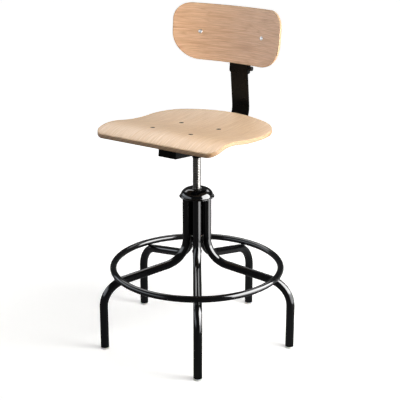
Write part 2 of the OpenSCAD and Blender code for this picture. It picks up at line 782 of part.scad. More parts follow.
module back_screws()
    color(steel_bright) back_frame() at_back_screws() {
        translate([0, 0, -screw_head_h - screw_head_lift])
            cylinder(h = screw_head_h, r = screw_head_r, $fn = 48);
        translate([0, 0, -screw_head_lift - 0.5])
            cylinder(h = screw_head_lift + 0.5 + back_t + back_plate_t + back_washer_t
                         + back_nut_h + screw_tail, r = screw_r, $fn = 32);
    }

module back_nuts()
    color(steel_bright) back_frame() at_back_screws()
        translate([0, 0, back_t + back_plate_t]) difference() {
            union() {
                cylinder(h = back_washer_t, r = back_washer_r, $fn = 48);
                translate([0, 0, back_washer_t]) cylinder(h = back_nut_h, r = back_nut_r, $fn = 6);
            }
            translate([0, 0, -1]) cylinder(h = 3 * back_nut_h, r = screw_r + press, $fn = 32);
        }

for (i = [1:LEGS]) {
    leg(i);
    glide(i);
}
centre_tube();
spindle_nut();
guide_bush();
dome_cover();
foot_ring();
ring_studs();
stop_washer();
stop_screw();
spindle();
hub();
hub_pin();
seat_carrier();
carrier_floor();
seat_plate();
seat_spacers();
seat_panel();
seat_bolts();
seat_nuts();
bar_guide();
clamp_bridge();
clamp_nut();
clamp_pad();
clamp_screw();
clamp_knob();
back_bar();
bar_stop_screw();
slider();
slider_nut();
height_screw();
height_knob();
pivot_bolt();
pivot_nut();
pivot_knob();
hinge_bracket();
back_plate();
back_panel();
back_screws();
back_nuts();
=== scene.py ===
# %% [markdown]
# # A high swivel chair, dressed for the camera
# The chair has five bent tube legs, a foot ring, a screw spindle, a moulded plywood seat and a
# plywood back on a flat steel bar. The engineering model is loaded first: it gives the moving
# bodies and a plain shape for every part. This lesson then makes the finishes and the softer,
# finer shapes.

# %% Load the engineering model
import json
import math
import bmesh
import bpy
import numpy as np
from mathutils import Matrix, Vector
from mathutils.geometry import delaunay_2d_cdt

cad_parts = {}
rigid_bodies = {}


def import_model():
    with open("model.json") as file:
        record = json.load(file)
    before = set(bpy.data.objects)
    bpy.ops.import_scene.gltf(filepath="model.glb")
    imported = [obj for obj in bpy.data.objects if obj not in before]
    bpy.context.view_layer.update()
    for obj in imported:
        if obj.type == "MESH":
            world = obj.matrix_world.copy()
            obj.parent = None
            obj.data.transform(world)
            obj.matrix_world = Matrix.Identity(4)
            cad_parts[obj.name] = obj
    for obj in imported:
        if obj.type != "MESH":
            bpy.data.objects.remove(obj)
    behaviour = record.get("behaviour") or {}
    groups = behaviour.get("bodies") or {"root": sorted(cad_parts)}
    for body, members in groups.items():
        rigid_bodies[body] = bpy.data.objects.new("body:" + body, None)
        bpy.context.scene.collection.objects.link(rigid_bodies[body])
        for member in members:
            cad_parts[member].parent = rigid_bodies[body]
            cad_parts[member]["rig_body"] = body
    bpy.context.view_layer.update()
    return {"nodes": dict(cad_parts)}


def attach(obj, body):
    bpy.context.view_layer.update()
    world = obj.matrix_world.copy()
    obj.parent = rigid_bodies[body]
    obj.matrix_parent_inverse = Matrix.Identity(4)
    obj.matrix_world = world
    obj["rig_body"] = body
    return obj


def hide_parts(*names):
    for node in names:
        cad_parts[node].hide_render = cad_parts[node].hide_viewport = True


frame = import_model()

# %% [markdown]
# The real chair's sizes are kept here in millimetres, as on a workshop drawing. A name ends in R
# for a radius, T for a thickness, W for a width, H for a height, and X, Y or Z for a place.
# Blender works in metres, so `mm` turns one into the other where a size is used.

# %% Sizes of the chair
mm = 0.001
FOOT_CIRCLE_R, BUNDLE_R, LEG_R, BEND_R, SLOPE = 290, 31.5, 12.5, 80, 12.6
UPPER_BEND_Z, COLUMN_TOP_Z, BASE_TURN, GLIDE_H, GLIDE_R = 320, 452, 16.6, 5.5, 13.5
RING_R, RING_TUBE_R, RING_GAP, STUD_R = 250.8, 9.5, 0.9, 5
SPINDLE_R, SPINDLE_LOW, SPINDLE_HIGH, THREAD_PITCH = 12, 276, 622, 5
DOME_R, DOME_TOP, DOME_SHEET, HUB_R = 52, 474.5, 1.6, 16
SEAT_TILT, PLATE_Z, SEAT_T, CREST_Y, CREST_Z = 6.8, 642.1, 11, -151.4, 676
SEAT_HALF_W, SEAT_FRONT, SEAT_REAR, SEAT_BOW_R = 205.5, 219.5, 178, 345
SEAT_FRONT_CORNER_R, SEAT_REAR_CORNER_R = 32, 110
BOLT_X, BOLT_YS, BOLT_Z, BORE_R, BORE_DEPTH = 65, (-128, 14), 17.5, 6.4, 4.4
BAR_BEND_Y, BAR_BEND_Z, BAR_BEND_R, BAR_LEAN = 172.8, 50.9, 58, 6
BACK_Y, BACK_Z, BACK_LEAN, BACK_R, BACK_T = 190.6, 897.6, 5, 375, 9
BACK_W, BACK_H, BACK_TOP_CORNER_R, BACK_LOW_CORNER_R = 369.5, 167.5, 50, 80
BACK_SCREW_GAP = 211.8

leg_run = FOOT_CIRCLE_R - BUNDLE_R - 2 * BEND_R * (1 - math.sin(math.radians(SLOPE)))
LOWER_BEND_Z = (UPPER_BEND_Z - 2 * BEND_R * math.cos(math.radians(SLOPE))
                - leg_run * math.tan(math.radians(SLOPE)))
STUD_X = RING_R - FOOT_CIRCLE_R + BEND_R
RING_Z = LOWER_BEND_Z + math.sqrt((BEND_R + LEG_R + RING_GAP + RING_TUBE_R) ** 2 - STUD_X ** 2)
print("lower bend at", round(LOWER_BEND_Z, 1), "mm, ring at", round(RING_Z, 1), "mm")

# %% [markdown]
# Three frames repeat all over the chair. The seat plate falls a little to the rear, the upright
# part of the back bar leans, and the back panel leans the other way. A matrix for each one lets
# a piece be drawn flat and then be put in its place. Arcs repeat too: bends, rims and corners.

# %% The chair's tilted frames, and arcs
def tilt(degrees):
    return Matrix.Rotation(math.radians(degrees), 4, "X")

def move(x, y, z):
    return Matrix.Translation(Vector((x, y, z)) * mm)

def arc(cx, cy, rx, ry, start, end, steps):
    angles = [math.radians(start + (end - start) * k / steps) for k in range(steps + 1)]
    return [(cx + rx * math.cos(a), cy + ry * math.sin(a)) for a in angles]

AT_SEAT = move(0, 0, PLATE_Z) @ tilt(-SEAT_TILT)
AT_UPRIGHT = (AT_SEAT @ move(0, BAR_BEND_Y, BAR_BEND_Z) @ tilt(BAR_LEAN + SEAT_TILT)
              @ move(0, BAR_BEND_R, 0))
AT_BACK = move(0, BACK_Y, BACK_Z) @ tilt(-BACK_LEAN)
LEG_TURNS = [math.radians(BASE_TURN + 72 * i) for i in range(5)]
print("upright frame starts at", [round(v, 4) for v in AT_UPRIGHT.translation])

# %% [markdown]
# The photograph was taken with a long lens, from above the back. The camera's place and focal
# length were worked out from the feet, the ring and the spindle, so that both pictures match.

# %% Camera
CAMERA_PLACE = Vector((1.7155, -2.5243, 1.4725))
CAMERA_TARGET = Vector((0.00885, 0.00597, 0.43474))

def new_object(name, data):
    thing = bpy.data.objects.new(name, data)
    bpy.context.scene.collection.objects.link(thing)
    return thing

def face_to(thing, place, target):
    thing.location = place
    thing.rotation_mode = "QUATERNION"
    thing.rotation_quaternion = (Vector(target) - Vector(place)).to_track_quat("-Z", "Y")

camera = new_object("camera", bpy.data.cameras.new("camera"))
camera.data.sensor_width = 36
camera.data.lens = 98.505
camera.data.shift_x, camera.data.shift_y = -0.00125, 0.00125
face_to(camera, CAMERA_PLACE, CAMERA_TARGET)
bpy.context.scene.camera = camera
print("camera is", round((CAMERA_TARGET - CAMERA_PLACE).length, 2), "m away")

# %% [markdown]
# Every material and every geometry tree is built by one small function. It adds a node, gives it
# its settings, and gives each input a number or the output of another node, the first one unless
# another is named. Each finish ends in a colour, a roughness and a relief, joined to its shader.
# Most noises stay between 0.3 and 0.7, so that span has a name.

# %% One function that adds a node
USUAL_SPAN = {"From Min": 0.3, "From Max": 0.7}

def add(tree, kind, inputs=None, **settings):
    node = tree.nodes.new(kind)
    for name, value in settings.items():
        setattr(node, name, value)
    for key, value in (inputs or {}).items():
        if isinstance(value, bpy.types.Node):
            value = value.outputs[0]
        if isinstance(value, bpy.types.NodeSocket):
            tree.links.new(value, node.inputs[key])
        else:
            node.inputs[key].default_value = value
    return node

def tone(hex_colour):
    values = [int(hex_colour[i:i + 2], 16) / 255 for i in (1, 3, 5)]
    return [v / 12.92 if v <= 0.04045 else ((v + 0.055) / 1.055) ** 2.4 for v in values] + [1]

def start_finish(name):
    finish = bpy.data.materials.new(name)
    finish.use_nodes = True
    tree = finish.node_tree
    tree.nodes.clear()
    shader = add(tree, "ShaderNodeBsdfPrincipled")
    add(tree, "ShaderNodeOutputMaterial", {0: shader})
    return finish, tree, shader

def cover(tree, shader, colour, roughness, relief):
    tree.links.new(colour.outputs[2], shader.inputs["Base Color"])
    tree.links.new(roughness.outputs[0], shader.inputs["Roughness"])
    tree.links.new(relief.outputs[0], shader.inputs["Normal"])

# %% [markdown]
# Painted, plated and moulded skins share one recipe. Broad patches of dust or uneven coating
# blend two close colours and dull the gloss here and there, and a fine grain lifts the surface.
# Scales are in grains to the metre, and the relief's depth is in metres.

# %% A recipe for coats and moulded skins
def skin(name, colours, roughness, patches, grain, relief, span=USUAL_SPAN):
    finish, tree, shader = start_finish(name)
    place = add(tree, "ShaderNodeTexCoord").outputs["Object"]
    broad = add(tree, "ShaderNodeTexNoise", {
        "Vector": place, "Scale": patches[0], "Detail": patches[1]})
    fine = add(tree, "ShaderNodeTexNoise", {"Vector": place, "Scale": grain[0], "Detail": grain[1]})
    shade = add(tree, "ShaderNodeMix", {
        0: broad, 6: tone(colours[0]), 7: tone(colours[1])}, data_type="RGBA")
    dull = add(tree, "ShaderNodeMapRange", {
        "Value": broad, **span, "To Min": roughness[0], "To Max": roughness[1]})
    bumps = add(tree, "ShaderNodeBump", {
        "Height": fine, "Strength": relief[0], "Distance": relief[1]})
    cover(tree, shader, shade, dull, bumps)
    return finish, shader.inputs

# %% [markdown]
# Stoving enamel is sprayed on the leg tubes and baked, so it is deep black and glossy. It still
# has a faint orange skin, hollows about 4 mm wide and a few microns deep, and a trace of dust
# that dulls the gloss in patches. Paint is a dielectric, so its IOR stays near 1.5.

# %% Black stoving enamel
stoved_enamel, inputs = skin(
    "black_stoving_enamel", ("#060607", "#0b0b0c"), roughness=(0.08, 0.15), patches=(14, 5),
    grain=(250, 1), relief=(0.25, 0.00002), span={"From Min": 0.35, "From Max": 0.75})
inputs["IOR"].default_value = 1.5
print("made", stoved_enamel.name)

# %% [markdown]
# The sheet and flat steel under the seat and behind it has a satin black powder coat. Powder
# melts into tiny grains, about half a millimetre, which scatter the light.

# %% Satin black powder coat
satin_powder, inputs = skin(
    "satin_black_powder_coat", ("#070707", "#0d0d0d"), roughness=(0.24, 0.34), patches=(30, 4),
    grain=(1800, 2), relief=(0.4, 0.00004))
inputs["Specular IOR Level"].default_value = 0.2
print("made", satin_powder.name)

# %% [markdown]
# Screws, nuts and washers are zinc plated: a duller metal, a little blue, with faint clouds a few
# millimetres wide. The other bright steel is the spindle, turned on a lathe. Its fine lines run
# round it, drawn coarser than real, about 0.3 mm wide, so that they show. Grease darkens the
# roots of its thread. Such lines are a noise drawn out one way, as the lines in wood are.

# %% Zinc plate and turned steel
zinc_plate, inputs = skin(
    "zinc_plated_steel", ("#c8cbcf", "#eceef0"), roughness=(0.28, 0.42), patches=(400, 4),
    grain=(400, 4), relief=(0.3, 0.00002))
inputs["Metallic"].default_value = 1

def streaks(tree, place, scale, **more):
    drawn_out = add(tree, "ShaderNodeMapping", {"Vector": place, "Scale": scale})
    return add(tree, "ShaderNodeTexNoise", {"Vector": drawn_out, "Scale": 1, **more})

turned_steel, tree, shader = start_finish("turned_steel_with_grease")
place = add(tree, "ShaderNodeTexCoord").outputs["Object"]
axes = add(tree, "ShaderNodeSeparateXYZ", {0: place})
flat_place = add(tree, "ShaderNodeCombineXYZ", {0: axes.outputs[0], 1: axes.outputs[1]})
reach = add(tree, "ShaderNodeVectorMath", {0: flat_place}, operation="LENGTH")
root = add(tree, "ShaderNodeMapRange", {
    "Value": reach.outputs["Value"], "From Min": 0.0115, "From Max": 0.0119})
lines = streaks(tree, place, (30, 30, 3000))
stain = add(tree, "ShaderNodeTexNoise", {"Vector": place, "Scale": 60, "Detail": 4})
clean = add(tree, "ShaderNodeMix", {
    0: stain, 6: tone("#8f8d8a"), 7: tone("#a7a5a2")}, data_type="RGBA")
shade = add(tree, "ShaderNodeMix", {
    0: root, 6: tone("#6e6a64"), 7: clean.outputs[2]}, data_type="RGBA")
dull = add(tree, "ShaderNodeMapRange", {
    "Value": stain, **USUAL_SPAN, "To Min": 0.2, "To Max": 0.34})
ridges = add(tree, "ShaderNodeBump", {"Height": lines, "Strength": 0.3, "Distance": 0.00003})
cover(tree, shader, shade, dull, ridges)
shader.inputs["Metallic"].default_value = 1
print("made", zinc_plate.name, "and", turned_steel.name)

# %% [markdown]
# The moulded parts are white nylon glides, black knobs and black rubber pads. Nylon is slightly
# milky, so a little light passes through it. The knobs have the fine matt skin of a
# spark-eroded mould, about 0.3 mm, and rubber is the dullest of the three. The counterbores of
# the seat get a near-black brown: painted shade, standing in for the shadow inside them.

# %% Nylon, knob plastic, rubber and the bores' painted shade
def moulded(name, colours, roughness, grain, depth):
    return skin(name, colours, roughness, patches=(45, 4), grain=(grain, 3), relief=(0.5, depth))

white_nylon, inputs = moulded("white_nylon", ("#dededa", "#f4f4f1"), (0.3, 0.42), 900, 0.00002)
inputs["Subsurface Weight"].default_value = 0.15
inputs["Subsurface Scale"].default_value = 0.002
knob_plastic, _ = moulded("black_moulded_polyamide", ("#101011", "#1c1c1e"), (0.42, 0.55), 3300,
                          0.00006)
black_rubber, _ = moulded("black_rubber", ("#121212", "#1e1d1c"), (0.6, 0.8), 1500, 0.00008)
# Painted shade: the bores' walls and floors are coloured near-black brown in place of their shadow.
painted_bore_shade, _ = moulded("dark_sealed_bore", ("#1c130d", "#2a1d14"), (0.5, 0.7), 1200, 0.00005)
print("made", white_nylon.name, knob_plastic.name, black_rubber.name, painted_bore_shade.name)

# %% [markdown]
# The seat and the back are moulded from beech veneers and clear lacquered. Beech is pale and
# pinkish, with fibres along the grain, soft wider bands, fine growth rings where the veneer was
# peeled, and short dark flecks. Real fibres are too thin for the render, so they are drawn about
# 2 mm wide. A pattern that follows the veneer needs its own map: the panels carry one in metres,
# with its first axis along the grain.

# %% Lacquered beech veneer
def beech(name, dark, middle, light, rings):
    finish, tree, shader = start_finish(name)
    sheet = add(tree, "ShaderNodeUVMap", uv_map="veneer")
    bands = streaks(tree, sheet, (5, 130, 1), Detail=3, Distortion=0.4)
    fibres = streaks(tree, sheet, (14, 440, 1), Detail=3, Roughness=0.7)
    specks = streaks(tree, sheet, (260, 1500, 1))
    growth = streaks(tree, sheet, (2.2, 24, 1), Detail=2, Roughness=0.35)
    cloud = add(tree, "ShaderNodeTexNoise", {"Vector": sheet, "Scale": 7})
    band = add(tree, "ShaderNodeMapRange", {"Value": bands, "From Min": 0.32, "From Max": 0.68})
    fibre = add(tree, "ShaderNodeMapRange", {
        "Value": fibres, "From Min": 0.38, "From Max": 0.62, "To Min": 0.7, "To Max": 0.0})
    years = add(tree, "ShaderNodeMath", {0: growth, 1: 11}, operation="MULTIPLY")
    year = add(tree, "ShaderNodeMath", {0: years, 1: 0.5}, operation="PINGPONG")
    late_wood = add(tree, "ShaderNodeMapRange", {
        "Value": year, "From Max": 0.16, "To Min": rings, "To Max": 0.0})
    fleck = add(tree, "ShaderNodeMapRange", {
        "Value": specks, "From Min": 0.62, "From Max": 0.72, "To Max": 0.5})
    patch = add(tree, "ShaderNodeMapRange", {"Value": cloud, **USUAL_SPAN, "To Max": 0.3})
    shade = add(tree, "ShaderNodeMix", {0: band, 6: tone(middle), 7: tone(light)}, data_type="RGBA")
    for amount, colour in ((fibre, dark), (late_wood, dark), (fleck, dark), (patch, middle)):
        shade = add(tree, "ShaderNodeMix", {
            0: amount, 6: shade.outputs[2], 7: tone(colour)}, data_type="RGBA")
    dull = add(tree, "ShaderNodeMapRange", {
        "Value": fibres, **USUAL_SPAN, "To Min": 0.38, "To Max": 0.5})
    pores = add(tree, "ShaderNodeBump", {"Height": fibres, "Strength": 0.4, "Distance": 0.00004})
    cover(tree, shader, shade, dull, pores)
    return finish

seat_veneer = beech("lacquered_beech_seat", "#b28c68", "#d9b791", "#e4caab", 0.2)
back_veneer = beech("lacquered_beech_back", "#b07e5a", "#e1b48d", "#efc9a4", 0.45)
print("made", seat_veneer.name, "and", back_veneer.name)

# %% [markdown]
# At the edge the seven veneers show as thin stripes, 1.3 mm each in the back and 1.6 mm in the
# seat. A veneer cut across its fibres is browner than one cut along them, so light and dark
# stripes alternate, with a fine glue line between. The edge is mapped with its first axis round
# the panel and its second through it.

# %% Plywood edge
PLIES = 7

def ply_edge(name, thick, pale, brown):
    finish, tree, shader = start_finish(name)
    sheet = add(tree, "ShaderNodeUVMap", uv_map="veneer")
    axes = add(tree, "ShaderNodeSeparateXYZ", {0: sheet})
    wobble = streaks(tree, sheet, (25, 0, 0))
    fibres = streaks(tree, sheet, (60, 2500, 1), Detail=3)
    ends = streaks(tree, sheet, (900, 900, 1))
    depth = add(tree, "ShaderNodeMath", {
        0: axes.outputs[1], 1: PLIES / (thick * mm), 2: wobble}, operation="MULTIPLY_ADD")
    ply = add(tree, "ShaderNodeMath", {0: depth, 1: 1.0}, operation="PINGPONG")
    stripe = add(tree, "ShaderNodeMapRange", {"Value": ply, "From Min": 0.42, "From Max": 0.58})
    glue = add(tree, "ShaderNodeMath", {0: ply, 1: 0.5, 2: 0.08}, operation="COMPARE")
    cut = add(tree, "ShaderNodeMix", {0: stripe, 6: tone(brown), 7: tone(pale)}, data_type="RGBA")
    soft = add(tree, "ShaderNodeMix", {
        0: 0.35, 6: cut.outputs[2], 7: fibres.outputs[1]}, data_type="RGBA", blend_type="MULTIPLY")
    shade = add(tree, "ShaderNodeMix", {
        0: glue, 6: soft.outputs[2], 7: tone("#7a5638")}, data_type="RGBA")
    dull = add(tree, "ShaderNodeMapRange", {
        "Value": ends, **USUAL_SPAN, "To Min": 0.42, "To Max": 0.6})
    bumps = add(tree, "ShaderNodeBump", {"Height": ends, "Strength": 0.5, "Distance": 0.00006})
    cover(tree, shader, shade, dull, bumps)
    return finish

seat_edge = ply_edge("beech_seat_edge", SEAT_T, "#e3bc8e", "#855a36")
back_edge = ply_edge("beech_back_edge", BACK_T, "#dfbc94", "#a0764e")
print("made", seat_edge.name, "and", back_edge.name)

# %% [markdown]
# Every new piece rides on a body of the model, and most stand in for a part of the model.

def make_piece(name, mesh, finishes, body, replaced=(), sharp=40):
    mesh.name = name
    for finish in finishes:
        mesh.materials.append(finish)
    piece = new_object(name, mesh)
    mesh.shade_smooth()
    mesh.set_sharp_from_angle(angle=math.radians(sharp))
    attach(piece, body)
    if replaced:
        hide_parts(*replaced)
    return piece

# %% [markdown]
# Most steel parts have the right shape already, but their corners are knife sharp, and a real
# corner is a little round, which is where it catches the light. So each is copied, its triangles
# are joined into whole faces, and its sharp edges get a small bevel.

# %% Eased corners
SAME_SPOT, SAME_PLANE, KEEN_ANGLE = 2e-6, math.radians(0.3), math.radians(35)

def eased(node, width, finish):
    source = frame["nodes"][node]
    shape = bmesh.new()
    corners = [shape.verts.new(v.co) for v in source.data.vertices]
    for face in source.data.polygons:
        shape.faces.new([corners[i] for i in face.vertices])
    bmesh.ops.remove_doubles(shape, verts=shape.verts, dist=SAME_SPOT)
    bmesh.ops.dissolve_limit(shape, angle_limit=SAME_PLANE, verts=shape.verts, edges=shape.edges)
    bmesh.ops.recalc_face_normals(shape, faces=shape.faces)
    keen = [e for e in shape.edges if len(e.link_faces) == 2
            and e.calc_face_angle(0) > KEEN_ANGLE]
    bmesh.ops.bevel(shape, geom=keen, offset=width * mm, offset_type="OFFSET", segments=2,
                    profile=0.5, affect="EDGES", clamp_overlap=True)
    mesh = bpy.data.meshes.new(node)
    shape.to_mesh(mesh)
    shape.free()
    piece = make_piece(node + "_eased", mesh, [finish], source["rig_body"], [node])
    weights = piece.modifiers.new("weights", "WEIGHTED_NORMAL")
    weights.keep_sharp = True
    reader = bpy.context.evaluated_depsgraph_get()
    piece.data = bpy.data.meshes.new_from_object(piece.evaluated_get(reader))
    piece.modifiers.remove(weights)
    piece.data.name = piece.name
    bpy.data.meshes.remove(mesh)
    return piece

for finish, parts in [
        (satin_powder, {"hub": 0.6, "seat_carrier": 0.7, "carrier_floor": 0.4, "seat_plate": 0.6,
                        "bar_guide": 0.7, "clamp_bridge": 0.5, "back_bar": 0.7, "slider": 0.8,
                        "hinge_bracket": 0.4, "back_plate": 0.5}),
        (stoved_enamel, {"ring_studs": 0.3}),
        (knob_plastic, {"clamp_knob": 1.2, "height_knob": 1.0, "pivot_knob": 0.5}),
        (satin_powder, {"pivot_bolt": 0.3}),
        (zinc_plate, {"clamp_nut": 0.4, "slider_nut": 0.3}),
        (black_rubber, {"clamp_pad": 0.3, "seat_spacers": 0.4}),
        (zinc_plate, {"bar_stop_screw": 0.4})]:
    for node, width in parts.items():
        piece = eased(node, width, finish)
        print(piece.name, len(piece.data.polygons), "faces")

# %% [markdown]
# The parts inside the column are hardly seen. They keep the model's own meshes and only get a
# better finish, put into their material slots.

# %% Better finishes for the hidden parts
HIDDEN = {"centre_tube": stoved_enamel, "spindle_nut": zinc_plate, "guide_bush": white_nylon,
          "stop_washer": zinc_plate, "stop_screw": zinc_plate, "hub_pin": zinc_plate,
          "pivot_nut": zinc_plate}
for node, finish in HIDDEN.items():
    for slot in frame["nodes"][node].material_slots:
        slot.material = finish
print("finished the hidden parts")

# %% [markdown]
# The legs are tubes bent twice. A round tube that follows a line is what Geometry Nodes do best:
# a tree turns any line into a tube, with the tube's radius and number of sides as inputs. A
# roughness swells and thins it here and there. It serves the legs, the ring and the weld beads.
# A grown mesh may keep an empty material slot, so its slots are cleared before it is finished.

# %% A geometry tree that turns a line into a tube
def start_tree(name, numbers):
    tree = bpy.data.node_groups.new(name, "GeometryNodeTree")
    tree.interface.new_socket("Geometry", in_out="INPUT", socket_type="NodeSocketGeometry")
    for label, kind in numbers:
        tree.interface.new_socket(label, in_out="INPUT", socket_type="NodeSocket" + kind)
    tree.interface.new_socket("Geometry", in_out="OUTPUT", socket_type="NodeSocketGeometry")
    return tree, add(tree, "NodeGroupInput").outputs

def end_tree(tree, geometry, finish):
    real = add(tree, "GeometryNodeRealizeInstances", {0: geometry})
    painted = add(tree, "GeometryNodeSetMaterial", {"Geometry": real, "Material": finish})
    add(tree, "NodeGroupOutput", {0: painted})

def grow(tree, base_mesh, values):
    base = new_object("base", base_mesh)
    nodes = base.modifiers.new("nodes", "NODES")
    nodes.node_group = tree
    for item in tree.interface.items_tree:
        if item.in_out == "INPUT" and item.name in values:
            nodes[item.identifier] = values[item.name]
    reader = bpy.context.evaluated_depsgraph_get()
    mesh = bpy.data.meshes.new_from_object(base.evaluated_get(reader))
    base.modifiers.remove(nodes)
    bpy.data.objects.remove(base)
    mesh.materials.clear()
    return mesh

tube, source = start_tree("line_to_tube", [
    ("Radius", "Float"), ("Sides", "Int"), ("Roughness", "Float"), ("Finish", "Material")])
line = add(tube, "GeometryNodeMeshToCurve", {0: source["Geometry"]})
lumps = add(tube, "ShaderNodeTexNoise", {"Scale": 300.0})
swell = add(tube, "ShaderNodeMapRange", {"Value": lumps, **USUAL_SPAN, "To Min": -1.0})
amount = add(tube, "ShaderNodeMath", {
    0: swell, 1: source["Roughness"], 2: 1.0}, operation="MULTIPLY_ADD")
round_end = add(tube, "GeometryNodeCurvePrimitiveCircle", {
    "Resolution": source["Sides"], "Radius": source["Radius"]})
wall = add(tube, "GeometryNodeCurveToMesh", {
    "Curve": line, "Profile Curve": round_end, "Scale": amount, "Fill Caps": True})
end_tree(tube, wall, source["Finish"])

def grow_tubes(lines, radius, sides, finish, roughness=0.0):
    points, edges = [], []
    for line, closed in lines:
        first = len(points)
        points += [Vector(p) * mm for p in line]
        edges += [(i, i + 1) for i in range(first, len(points) - 1)]
        if closed:
            edges.append((len(points) - 1, first))
    mesh = bpy.data.meshes.new("lines")
    mesh.from_pydata(points, edges, [])
    return grow(tube, mesh, {
        "Radius": radius * mm, "Sides": sides, "Roughness": roughness, "Finish": finish})

print("tree", tube.name, "has", len(tube.nodes), "nodes")

# %% [markdown]
# A leg's line is drawn in its own upright plane: down in the bundle, round the upper bend, down
# the slope, round the lower bend and down to the floor. Each bend is a true arc of the same
# radius, in 32 short steps, so that the streaks of light run smoothly round it. The tube is a
# hair thinner than the model's, so that it stays inside it.

# %% Leg tubes
bend = 90 - SLOPE
slope_line = (arc(BUNDLE_R + BEND_R, UPPER_BEND_Z, BEND_R, BEND_R, 180, 180 + bend, 32)
              + arc(FOOT_CIRCLE_R - BEND_R, LOWER_BEND_Z, BEND_R, BEND_R, bend, 0, 32))
leg_line = [(x, 0, z) for x, z in
            [(BUNDLE_R, COLUMN_TOP_Z)] + slope_line + [(FOOT_CIRCLE_R, GLIDE_H)]]
for number, turn in enumerate(LEG_TURNS, 1):
    mesh = grow_tubes([(leg_line, False)], LEG_R - 0.05, 48, stoved_enamel)
    mesh.transform(Matrix.Rotation(turn, 4, "Z"))
    piece = make_piece(f"leg_tube_{number}", mesh, [stoved_enamel], "base", [f"leg_{number}"])
print("a leg has", len(piece.data.polygons), "faces")

# %% [markdown]
# The foot ring is the same tube on a round line of 240 steps. Where a stud meets the ring or a
# leg, and where sheets are welded, a thin bead of weld closes the corner under the paint. Beads
# round the studs and the hub are closed lines. Short straight beads stitch the seat plate to the
# carrier and the bar guide, and a curved one joins the bracket to its plate.

# %% Foot ring and weld beads
def round_line(centre, radius, count, tip=0.0, turn=0.0):
    points = []
    spin = Matrix.Rotation(turn, 4, "Z")
    for k in range(count):
        a = 2 * math.pi * k / count
        p = Vector((radius * math.cos(a), radius * math.sin(a), 0))
        p.rotate(Matrix.Rotation(tip, 4, "Y"))
        points.append(spin @ (p + Vector(centre)))
    return points

ring = grow_tubes([(round_line((0, 0, RING_Z), RING_R, 240), True)], RING_TUBE_R, 40,
                  stoved_enamel)
make_piece("foot_ring_tube", ring, [stoved_enamel], "base", ["foot_ring"])

def beads(name, lines, thick, finish, body, place=Matrix()):
    made = grow_tubes(lines, thick, 8, finish, 0.25)
    made.transform(place)
    return make_piece(name, made, [finish], body)

lean = math.asin(STUD_X / (BEND_R + LEG_R))
sink_leg, sink_ring = 0.4, 0.8
on_leg = (RING_R, 0, LOWER_BEND_Z + math.sqrt((BEND_R + LEG_R) ** 2 - STUD_X ** 2) - sink_leg)
on_ring = (RING_R, 0, RING_Z - RING_TUBE_R + sink_ring)
welds = beads("stud_welds", [
    (round_line(place, STUD_R + 0.4, 28, tip, turn), True)
    for turn in LEG_TURNS for place, tip in ((on_leg, lean), (on_ring, 0))],
    1.1, stoved_enamel, "base")
print("welds have", len(welds.data.polygons), "faces")

STITCH_L, STITCH_STEPS, STITCH_Z = 22, 24, -4.5
CARRIER_EDGE, GUIDE_EDGE, HUB_SEAM = 30.4, 33.2, (0, 6.9, -57.8)
BRACKET_HALF_W, BRACKET_R, BRACKET_Z = 22, BACK_R + 12.2, -4.6

def stitch(x, start):
    return [(x, start + STITCH_L * k / STITCH_STEPS, STITCH_Z)
            for k in range(STITCH_STEPS + 1)], False

stitches = [stitch(side * edge, start) for side in (-1, 1) for edge, start in (
    (CARRIER_EDGE, -136), (CARRIER_EDGE, -62), (CARRIER_EDGE, 10),
    (GUIDE_EDGE, 46), (GUIDE_EDGE, 106))]
beads("plate_welds", [(round_line(HUB_SEAM, HUB_R + 0.8, 60), True)] + stitches,
      1.4, satin_powder, "seat", AT_SEAT)
bracket_line = [(x, math.sqrt(BRACKET_R ** 2 - x * x) - BACK_R, BRACKET_Z)
                for x in range(-BRACKET_HALF_W, BRACKET_HALF_W + 1)]
beads("bracket_weld", [(bracket_line, False)], 1.2, satin_powder, "back", AT_BACK)

# %% [markdown]
# The dome cover, the glides and the heads of the screws are round, turned or spun shapes. Each
# one is half a profile swept once round an axis. A profile is a short list of radius and height,
# with arcs where the real part has them.

# %% Round shapes from a profile
def turned(name, profile, sides):
    shape = bmesh.new()
    angles = [2 * math.pi * k / sides for k in range(sides)]
    rows = [[shape.verts.new((r * mm * math.cos(a), r * mm * math.sin(a), z * mm))
             for a in angles] for r, z in profile]
    for low, high in zip(rows, rows[1:] + rows[:1]):
        for k in range(sides):
            shape.faces.new((low[k], low[(k + 1) % sides], high[(k + 1) % sides], high[k]))
    bmesh.ops.remove_doubles(shape, verts=shape.verts, dist=1e-7)
    bmesh.ops.recalc_face_normals(shape, faces=shape.faces)
    mesh = bpy.data.meshes.new(name)
    shape.to_mesh(mesh)
    shape.free()
    return mesh

CROWN_R, SHOULDER_R, RIM_CURL_R, COLLAR_R = 20, 28, 1.2, 14.3
rise = DOME_TOP - COLUMN_TOP_Z
lip = COLUMN_TOP_Z - 3.5
outside = arc(CROWN_R, COLUMN_TOP_Z, SHOULDER_R, rise, 90, 4, 24)
curl = arc(DOME_R - RIM_CURL_R, lip + RIM_CURL_R, RIM_CURL_R, RIM_CURL_R, 90, -90, 8)
inside = arc(CROWN_R, COLUMN_TOP_Z, SHOULDER_R - DOME_SHEET, rise - DOME_SHEET, 4, 90, 16)
collar = arc(COLLAR_R, DOME_TOP - DOME_SHEET / 2, DOME_SHEET / 2, DOME_SHEET / 2, 270, 90, 8)
dome = turned("dome", outside + curl + [(47.5, lip + 0.4)] + inside + collar, 128)
make_piece("dome_shell", dome, [stoved_enamel], "base", ["dome_cover"])
print("dome has", len(dome.polygons), "faces")

# %% [markdown]
# The spindle is a long screw. A thread is a rule: the radius at any point depends only on its
# height and on the angle round the axis. So the tree starts from a flat grid, rolls it into a
# rod and pushes each point out or in by that rule. Its first and last rows close the ends. The
# spindle's 5 mm pitch is a guess, as the photograph shows only a fine texture.

